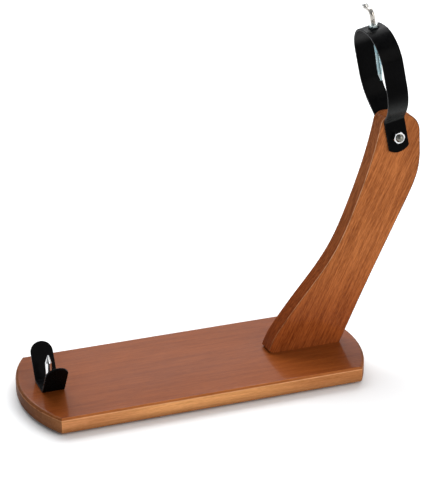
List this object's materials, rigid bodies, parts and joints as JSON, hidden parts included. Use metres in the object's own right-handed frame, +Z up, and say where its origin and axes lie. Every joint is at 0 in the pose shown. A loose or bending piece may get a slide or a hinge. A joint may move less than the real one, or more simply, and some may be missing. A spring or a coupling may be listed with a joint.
{
  "type": "ham holder stand",
  "caption": "Wooden ham stand with a leaning arm, a tilting strap ring with a screw clamp at its top, and a flared steel cradle with a spike at the board's other end.",
  "frame": {"origin": "middle of the stand's bounding box at the level of the surface it stands on", "axes": "+X along the board from the cradle to the arm, +Y across the board, +Z up"},
  "size_m": [0.5, 0.17, 0.4391],
  "materials": {
    "board_wood": "stained hardwood, satin varnish",
    "arm_wood": "stained hardwood, satin varnish",
    "foot_rubber": "matt black rubber",
    "black_paint": "black gloss enamel on steel strap",
    "zinc_steel": "bright zinc plate",
    "chrome_steel": "bright nickel or chrome plate"
  },
  "bodies": {
    "stand": {"base_board": "board_wood", "arm": "arm_wood", "arm_dowels": "arm_wood", "arm_screws": "zinc_steel", "foot_front_left": "foot_rubber", "foot_front_right": "foot_rubber", "foot_back_left": "foot_rubber", "foot_back_right": "foot_rubber", "cradle_bracket": "black_paint", "cradle_screws": "black_paint", "spike": "chrome_steel", "spike_washer": "zinc_steel", "spike_nut": "zinc_steel"},
    "ring": {"ring_strap": "black_paint", "pivot_bolt": "zinc_steel", "pivot_washer": "zinc_steel", "pivot_nut": "chrome_steel", "spindle_boss": "zinc_steel"},
    "nose": {"spindle_point": "zinc_steel"},
    "clamp_screw": {"spindle": "zinc_steel", "spindle_ball": "chrome_steel"}
  },
  "joints": [
    {"name": "ring_tilt", "type": "hinge", "parent": "stand", "child": "ring", "pos_m": [0.2174, 0, 0.282], "axis": [0, 1, 0], "range_deg": [-105, 100]},
    {"name": "clamp_feed", "type": "slide", "parent": "ring", "child": "nose", "axis": [0.1736, 0, -0.9848], "range_m": [-0.049, 0.006]},
    {"name": "clamp_turn", "type": "hinge", "parent": "nose", "child": "clamp_screw", "pos_m": [0.18923, 0, 0.41454], "axis": [0.1736, 0, -0.9848], "range_deg": [-17650, 2170]}
  ],
  "couplings": [
    {"joint": "clamp_turn", "follows": "clamp_feed", "rad_per_m": 6283.2}
  ]
}
